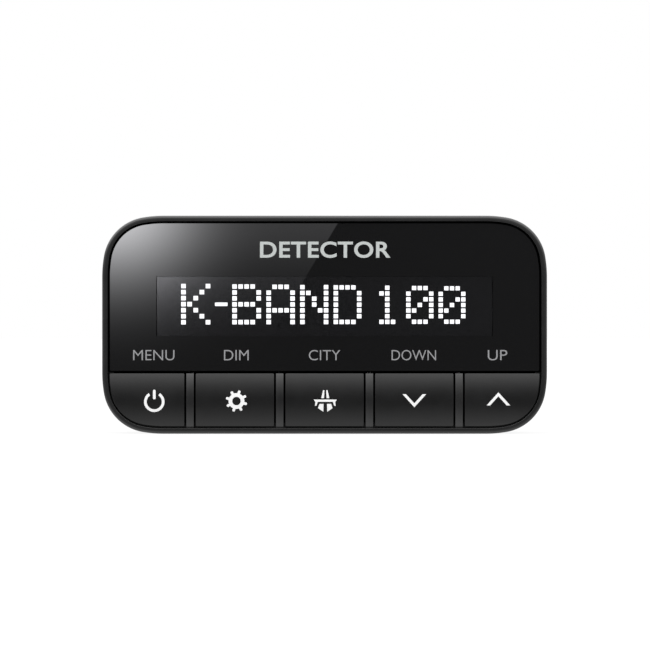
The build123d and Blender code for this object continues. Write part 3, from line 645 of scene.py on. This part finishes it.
# ---------------------------------------------------------------- casing
def rim_profile():
    """From the rim's outer side over its rounding and crowned front to the shadow gap's wall."""
    flat = RIM - RIM_INNER_R - RIM_EDGE_R * (1 - math.sin(RIM_TILT))
    drop = flat * math.tan(RIM_TILT) / 2
    centre_y = FACE_Y + drop + RIM_EDGE_R * math.cos(RIM_TILT)
    points = []
    outer_steps, inner_steps = 8, 3
    for i in range(outer_steps + 1):
        t = math.pi / 2 + (RIM_TILT - math.pi / 2) * i / outer_steps
        points.append((RIM_EDGE_R * (1 - math.sin(t)), centre_y - RIM_EDGE_R * math.cos(t)))
    for share in (0.75, 0.5, 0.25):
        points.append((RIM - RIM_INNER_R - flat * share, FACE_Y + drop * share ** 2))
    for i in range(inner_steps + 1):
        t = math.pi / 2 * i / inner_steps
        points.append((RIM - RIM_INNER_R * (1 - math.sin(t)), FACE_Y + RIM_INNER_R * (1 - math.cos(t))))
    return points


def bezel():
    """Rim and side walls as one closed section carried round the outline, with the socket's hole."""
    profile = [(PART_EDGE_R, BEZEL_BACK_Y), (0.0, BEZEL_BACK_Y - PART_EDGE_R), *rim_profile(),
               (RIM, KEY_ROOM_Y), (WALL, KEY_ROOM_Y), (WALL, BEZEL_BACK_Y)]
    mesh = swept("bezel", profile, closed=True)
    mesh = cut_out(mesh, [side_rod(SOCKET_Y, SOCKET_Z, SOCKET_HOLE_R, CASE_W / 4, CASE_W)])
    smooth(mesh, 35)
    return mesh


def flipped(points):
    """Mirrored left to right, and still clockwise."""
    return [Vector((-p.x, p.y)) for p in points[::-1]]


def upper_outline(inset, low_z):
    """The casing's outline above a level, clockwise from the top right corner."""
    corner = corner_points(inset)
    half = CASE_W / 2 - inset
    return corner + [Vector((half, low_z)), Vector((-half, low_z))] + flipped(corner)


def shelf():
    """The ledge and crossbar that the lens is glued to."""
    outer = upper_outline(RIM + 0.02, BAR_LOW_Z)
    inner = upper_outline(SHELF_INSET, BAR_TOP_Z)[::-1]
    return flat_sheet("lens_shelf", [outer, inner], SHELF_Y, SHELF_BACK_Y)


def rear_housing():
    """Tray with a rounded back edge, the pad's recess, four counterbores and the socket's hole."""
    cavity = WALL + 0.1
    profile = [(cavity, CAVITY_BACK_Y), (cavity, HOUSING_Y),
               (PART_EDGE_R, HOUSING_Y), (0.0, HOUSING_Y + PART_EDGE_R)]
    steps = 16
    for i in range(steps + 1):
        t = math.pi / 2 * i / steps
        profile.append((BACK_EDGE_R * (1 - math.cos(t)), CASE_BACK_Y - BACK_EDGE_R * (1 - math.sin(t))))
    mesh = swept("housing", profile, cap_first=True, cap_last=True)
    mid_z = CASE_H / 2
    recess = box_outline(-PAD_W / 2, PAD_W / 2, mid_z - PAD_H / 2, mid_z + PAD_H / 2, PAD_CORNER_R,
                         per_corner=12)
    cutters = [prism(recess, CASE_BACK_Y - PAD_RECESS, CASE_BACK_Y + 1),
               side_rod(SOCKET_Y, SOCKET_Z, SOCKET_HOLE_R, CASE_W / 4, CASE_W)]
    for x, z in SCREWS:
        cutters.append(prism(circle(x, z, COUNTERBORE_R), HEAD_SEAT_Y, CASE_BACK_Y + 1))
        cutters.append(prism(circle(x, z, SCREW_HOLE_R), CAVITY_BACK_Y - 1, HEAD_SEAT_Y + 0.1))
    mesh = cut_out(mesh, cutters)
    smooth(mesh, 35)
    return mesh


def tongue():
    """Thin lip of the housing that stands inside the bezel, open round the socket."""
    inner = TONGUE_INSET + TONGUE_T
    back_y = HOUSING_Y + 0.6
    section = [(TONGUE_INSET, TONGUE_Y), (inner, TONGUE_Y), (inner, back_y), (TONGUE_INSET, back_y)]
    mesh = swept("housing_tongue", section, closed=True)
    low_z, high_z = SOCKET_Z - SOCKET_GAP_HALF, SOCKET_Z + SOCKET_GAP_HALF
    gap = box_outline(CASE_W / 4, CASE_W / 2, low_z, high_z, 0.1)
    mesh = cut_out(mesh, [prism(gap, TONGUE_Y - 1, back_y + 1)])
    smooth(mesh, 35)
    return mesh


piece("bezel", bezel(), "casing", "casing_plastic", casing, replaces=["front_bezel"])
# The shelf takes the near-black ink in place of its casing plastic: painted shade in the gap round the
# lens.
piece("lens_shelf", shelf(), "casing", "casing_plastic", black_ink_and_painted_gap_shade)
piece("housing", rear_housing(), "casing", "casing_plastic", textured_casing, replaces=["rear_housing"])
piece("housing_tongue", tongue(), "casing", "casing_plastic", textured_casing)
for index, x in enumerate(RIBS_X):
    def rib_outline(inset, x=x):
        return box_outline(x - RIB_W / 2 + inset, x + RIB_W / 2 - inset,
                           RIM - RIB_FOOT + inset, CAP_TOP_Z - inset, RIB_CORNER_R)

    rib = crowned_block(f"rib_{index + 1}", rib_outline, RIB_EDGE_R, SHELF_BACK_Y, RIB_SETBACK)
    piece(f"rib_{index + 1}", rib, "casing", "casing_plastic", rib_plastic)


# ---------------------------------------------------------------- keys
def end_key_outline(inset, left, case_inset=PANEL_INSET, top=CAP_TOP_Z):
    """The right-hand key's plan, clockwise from its top right corner; it follows the case's corner."""
    left, low_z, top = left + inset, case_inset + inset, top - inset
    radius = KEY_CORNER_R - inset
    side_arc, tight, ease = corner_arcs(case_inset + inset)[::-1]
    centre, reach, start, _ = side_arc
    centre = Vector((centre.x, CASE_H - centre.y))
    rise = max(min((top - radius - centre.y) / reach, 0.0), -1.0)
    side = centre.x + math.sqrt(reach ** 2 - (rise * reach) ** 2)
    points = arc_points(Vector((side - radius, top - radius)), radius, math.pi / 2, 0, 6)
    first = min(math.asin(rise), -0.002)
    points += arc_points(centre, reach, first, -start, EASE_STEPS, last=False)[1:]
    for (centre, reach, high_angle, low_angle), steps in ((tight, CORNER_STEPS), (ease, EASE_STEPS)):
        centre = Vector((centre.x, CASE_H - centre.y))
        points += arc_points(centre, reach, -low_angle, -high_angle, steps, last=steps == EASE_STEPS)
    for z, degrees in ((low_z + radius, -90), (top - radius, -180)):
        a = math.radians(degrees)
        points += arc_points(Vector((left + radius, z)), radius, a, a - math.pi / 2, 6)
    return points


def key_outline(index, reach=0.0, **end_options):
    """A function of inset that gives a key's plan; reach widens the plan to both sides."""
    if index in (0, len(KEYS) - 1):
        left = RIBS_X[-1] + RIB_W / 2 + FIT_GAP - reach
        if index:
            return lambda inset: end_key_outline(inset, left, **end_options)
        return lambda inset: flipped(end_key_outline(inset, left, **end_options))
    left = RIBS_X[index - 1] + RIB_W / 2 + FIT_GAP - reach
    right = RIBS_X[index] - RIB_W / 2 - FIT_GAP + reach
    low_z = FLANGE_LOW_Z if reach else KEY_LOW_Z
    top_z = FLANGE_TOP_Z if reach else CAP_TOP_Z
    return lambda inset: box_outline(left + inset, right - inset, low_z + inset, top_z - inset,
                                     KEY_CORNER_R - inset)


for index, name in enumerate(KEYS):
    cap = crowned_block(f"{name}_cap", key_outline(index), KEY_EDGE_R, FLANGE_Y, KEY_SETBACK)
    piece(f"{name}_cap", cap, f"{name}_key", "key_plastic", key_plastic, replaces=[f"{name}_key_cap"])
    flange_outline = key_outline(index, FLANGE_REACH, case_inset=FLANGE_INSET, top=FLANGE_TOP_Z)
    flange = prism(flange_outline(0.0), FLANGE_Y, KEY_BACK_Y)
    # The flange takes the near-black ink in place of the key plastic: painted shade in the gaps round the
    # key.
    piece(f"{name}_cap_flange", flange, f"{name}_key", "key_plastic", black_ink_and_painted_gap_shade)


# ---------------------------------------------------------------- lens, mask, legends and display
def lens_outline(inset):
    """The lens's plan, clockwise from the top right corner."""
    corner = corner_points(PANEL_INSET + inset)
    radius = LENS_LOW_CORNER_R - inset
    half = CASE_W / 2 - PANEL_INSET - inset
    z = LENS_LOW_Z + LENS_LOW_CORNER_R
    points = corner + arc_points(Vector((half - radius, z)), radius, 0, -math.pi / 2, 6)
    points += arc_points(Vector((-half + radius, z)), radius, -math.pi / 2, -math.pi, 6)
    return points + flipped(corner)


def lens():
    """The smoked sheet, with a fine rounding round its front."""
    profile = [(0.0, LENS_BACK_Y), *rounding(LENS_Y, LENS_EDGE_R, steps=4)]
    mesh = swept("lens", profile, outline=lens_outline, cap_first=True, cap_last=True)
    smooth(mesh, 50)
    return mesh


piece("lens", lens(), "casing", "smoked_lens", smoked, replaces=["display_lens"])
window = box_outline(-WINDOW_W / 2, WINDOW_W / 2, WINDOW_Z - WINDOW_H / 2, WINDOW_Z + WINDOW_H / 2,
                     WINDOW_CORNER_R, per_corner=3)
mask_loops = [lens_outline(MASK_INSET), window[::-1]]
mask = flat_sheet("mask", mask_loops, MASK_Y, MASK_BACK_Y)
piece("mask", mask, "casing", "smoked_lens", mask_ink)
window_frame = flat_sheet("window_frame", mask_loops, FRAME_Y, FRAME_BACK_Y)
piece("window_frame", window_frame, "casing", "smoked_lens", black_ink_and_painted_gap_shade)
ink_section = [(EDGE_INK_INSET, MASK_BACK_Y), (MASK_INSET, MASK_BACK_Y),
               (MASK_INSET, FRAME_Y), (EDGE_INK_INSET, FRAME_Y)]
edge_ink = swept("edge_ink", ink_section, outline=lens_outline, closed=True)
piece("lens_edge_ink", edge_ink, "casing", "smoked_lens", black_ink_and_painted_gap_shade)


def printed_words(name, words, height, width, centre, y, material, weight=0.0, spacing=1.0):
    """Words as a thin plate of ink, scaled to a height and width and centred on y."""
    curve = bpy.data.curves.new(name, "FONT")
    curve.body = words
    curve.offset = weight
    curve.space_character = spacing
    curve.resolution_u = 6
    curve.extrude = 0.01                     # only parts front from back; the plate's depth is set below
    writing = bpy.data.objects.new(name + "_curve", curve)
    bpy.context.scene.collection.objects.link(writing)
    bpy.context.view_layer.update()
    mesh = bpy.data.meshes.new_from_object(writing.evaluated_get(bpy.context.evaluated_depsgraph_get()))
    bpy.data.objects.remove(writing)
    mesh.name = name
    xs = [v.co.x for v in mesh.vertices]
    ys = [v.co.y for v in mesh.vertices]
    x0, x1, y0, y1 = min(xs), max(xs), min(ys), max(ys)
    for vertex in mesh.vertices:
        across = (vertex.co.x - (x0 + x1) / 2) / (x1 - x0) * width + centre[0]
        up = (vertex.co.y - (y0 + y1) / 2) / (y1 - y0) * height + centre[1]
        depth = y - math.copysign(INK_T / 2, vertex.co.z)
        vertex.co = Vector((across, depth, up)) * MM
    weld(mesh)
    piece(name, mesh, "casing", "key_legend_plastic", material)


for words, x, width in LEGENDS:
    printed_words(f"legend_{words.lower()}", words, LEGEND_H, width, (x, LEGEND_Z), LEGEND_Y, legend_ink,
                  weight=-0.006)
printed_words("front_descriptor", "DETECTOR", DESCRIPTOR_H, DESCRIPTOR_W, DESCRIPTOR_PLACE, LENS_Y - INK_T,
              silver_ink, weight=0.02, spacing=1.05)

# The display's characters, five dots by seven, top row first.
GLYPHS = {
    "K": ["#...#", "#..#.", "#.#..", "##...", "#.#..", "#..#.", "#...#"],
    "B": ["####.", "#...#", "#...#", "####.", "#...#", "#...#", "####."],
    "A": [".###.", "#...#", "#...#", "#...#", "#####", "#...#", "#...#"],
    "N": ["#...#", "##..#", "#.#.#", "#.#.#", "#..##", "#...#", "#...#"],
    "D": ["####.", "#...#", "#...#", "#...#", "#...#", "#...#", "####."],
    "1": ["..#..", ".##..", "..#..", "..#..", "..#..", "..#..", ".###."],
    "0": [".###.", "#...#", "#..##", "#.#.#", "##..#", "#...#", ".###."],
}
READING = "K-BAND 100"
DOT_PITCH_X, DOT_PITCH_Z, DOT_W, DOT_H = 0.87, 0.856, 0.66, 0.64
DOT_CORNER_R, DOT_Y, DOT_BACK_Y = 0.05, GLASS_Y - 0.03, GLASS_Y - 0.01
GLYPH_PITCH, DASH_ADVANCE, SPACE_ADVANCE = 4.92, 2.36, 1.03
DASH_PLACE, DASH_W, DASH_H = 0.77, 1.78, 0.5
TEXT_LEFT, TEXT_MID_Z = -20.36, 18.37
TEXT_TAPER, TEXT_SLOPE = 0.0021, 0.0033      # per mm to the right, the line shrinks and its middle sinks


def display_dots():
    """Each lit dot is a small plate with round corners, all in one mesh on the cover glass."""
    shape = bmesh.new()

    def dot(x, z, width, height):
        outline = box_outline(x - width / 2, x + width / 2, z - height / 2, z + height / 2, DOT_CORNER_R,
                              per_corner=3)
        front, back = [[shape.verts.new(Vector((p.x, y, p.y)) * MM) for p in outline]
                       for y in (DOT_Y, DOT_BACK_Y)]
        shape.faces.new(front)
        shape.faces.new(back[::-1])
        for i in range(len(front)):
            shape.faces.new((front[i], back[i], back[i - 1], front[i - 1]))

    left = TEXT_LEFT
    for character in READING:
        size = 1 - TEXT_TAPER * (left - TEXT_LEFT)
        middle_z = TEXT_MID_Z - TEXT_SLOPE * (left - TEXT_LEFT)
        if character == " ":
            left += SPACE_ADVANCE * size
        elif character == "-":
            dot(left + DASH_PLACE, middle_z, DASH_W, DASH_H)
            left += DASH_ADVANCE * size
        else:
            for row, line in enumerate(GLYPHS[character]):
                for column, lit in enumerate(line):
                    if lit == "#":
                        x = left + (DOT_W / 2 + column * DOT_PITCH_X) * size
                        z = middle_z + (3 - row) * DOT_PITCH_Z * size
                        dot(x, z, DOT_W * size, DOT_H * size)
            left += GLYPH_PITCH * size
    mesh = bpy.data.meshes.new("display_dots")
    bmesh.ops.recalc_face_normals(shape, faces=shape.faces)
    shape.to_mesh(mesh)
    shape.free()
    return mesh


piece("display_dots", display_dots(), "casing", "display_glass", dot_light)


# ---------------------------------------------------------------- CAD nodes that stay
def grained(name, rgb, roughness, metallic=0.0, scale=3.0, grain=0.002):
    """A plain material with uneven colour and gloss and a fine surface grain."""
    material, tree, shader = principled(name, rgb, roughness)
    shader.inputs["Metallic"].default_value = metallic
    cloud = noise(tree, scale, detail=4)
    uneven_colour(tree, shader, cloud, rgb, 0.2)
    tree.links.new(maths(tree, "MULTIPLY_ADD", cloud, 0.2, roughness - 0.1), shader.inputs["Roughness"])
    bump(tree, shader, cloud, grain)
    return material


def pored_foam():
    """Closed-cell foam: dark, dull, with open cut cells."""
    material, tree, shader = principled("pored_foam", (0.012, 0.012, 0.0125), 0.85)
    cells = tree.nodes.new("ShaderNodeTexVoronoi")
    cells.inputs["Scale"].default_value = 3.2 / MM
    tree.links.new(tree.nodes.new("ShaderNodeTexCoord").outputs["Object"], cells.inputs["Vector"])
    edge = ramp(tree, cells.outputs["Distance"], [(0.0, 0.0), (0.55, 1.0)])
    foam = colour_between(tree, edge, (0.006, 0.006, 0.006), (0.02, 0.02, 0.021))
    tree.links.new(foam, shader.inputs["Base Color"])
    bump(tree, shader, edge, 0.03)
    return material


def solder_mask():
    """Green solder mask over copper tracks that show as paler lines."""
    material, tree, shader = principled("solder_mask", (0.01, 0.11, 0.04), 0.3)
    tracks = tree.nodes.new("ShaderNodeTexBrick")
    tracks.inputs["Scale"].default_value = 0.5 / MM
    tracks.inputs["Mortar Size"].default_value = 0.03
    tracks.inputs["Color1"].default_value = (0.008, 0.09, 0.035, 1)
    tracks.inputs["Color2"].default_value = (0.010, 0.11, 0.042, 1)
    tracks.inputs["Mortar"].default_value = (0.02, 0.19, 0.07, 1)
    axes = tree.nodes.new("ShaderNodeSeparateXYZ")
    flat = tree.nodes.new("ShaderNodeCombineXYZ")
    tree.links.new(tree.nodes.new("ShaderNodeTexCoord").outputs["Object"], axes.inputs[0])
    tree.links.new(axes.outputs["X"], flat.inputs["X"])
    tree.links.new(axes.outputs["Z"], flat.inputs["Y"])
    tree.links.new(flat.outputs[0], tracks.inputs["Vector"])
    tree.links.new(tracks.outputs["Color"], shader.inputs["Base Color"])
    bump(tree, shader, noise(tree, 4.0, detail=3), 0.004)
    return material


def dress(material, *names):
    """Gives CAD nodes a material."""
    for name in names:
        for slot in nodes[name].material_slots:
            slot.material = material


def each_key(part):
    """The five keys' nodes of one kind."""
    return [f"{name}_{part}" for name in KEYS]


dress(icon_plastic, *each_key("key_icon"))
dress(display_face, "display_cover_glass", "display_substrate")
dress(pored_foam(), "mounting_pad")
dress(solder_mask(), "main_board")
dress(grained("black_foam", (0.008, 0.008, 0.008), 0.9, scale=6, grain=0.02), "display_gasket",
      "lens_adhesive")
dress(grained("black_zinc", (0.16, 0.16, 0.165), 0.36, metallic=0.9, scale=5), "housing_screws")
dress(grained("plated_steel", (0.62, 0.62, 0.61), 0.3, metallic=1.0, scale=4), "board_screws",
      "quartz_crystal", *each_key("switch_dome"))
dress(grained("white_polycarbonate", (0.72, 0.72, 0.70), 0.5), "display_holder", "light_baffle")
dress(grained("polyimide", (0.45, 0.17, 0.03), 0.3, scale=1.5), "display_ribbon")
dress(grained("connector_nylon", (0.62, 0.56, 0.42), 0.5), "ribbon_connector")
dress(grained("chip_moulding", (0.02, 0.02, 0.021), 0.55, scale=7), "microcontroller", "display_driver",
      "voltage_regulator")
dress(grained("ferrite", (0.06, 0.06, 0.063), 0.7, scale=6), "power_inductor")
dress(grained("fired_ceramic", (0.42, 0.29, 0.16), 0.45, scale=5), "ceramic_capacitors")
dress(grained("resistor_glaze", (0.03, 0.03, 0.03), 0.3, scale=5), "chip_resistors")
dress(grained("tantalum_moulding", (0.62, 0.34, 0.04), 0.45), "tantalum_capacitor")
dress(grained("black_nylon", (0.012, 0.012, 0.012), 0.38, scale=4), "link_socket", *each_key("switch_body"))
dress(grained("gold_flash", (0.83, 0.60, 0.24), 0.22, metallic=1.0, scale=5), "socket_contacts")
dress(grained("cream_nylon", (0.66, 0.64, 0.58), 0.5), *each_key("switch_plunger"))
dress(grained("lamp_resin", (0.8, 0.76, 0.5), 0.2), *each_key("key_led"))

# ---------------------------------------------------------------- studio and view settings
add_camera()
add_world()
add_floor()
behind_lens = ["mask", *[f"legend_{name}" for name in KEYS]]
add_glow_card([bpy.data.objects[name] for name in behind_lens] + [nodes["display_cover_glass"]])
bpy.context.scene.view_settings.view_transform = "Standard"
bpy.context.scene.view_settings.look = "None"
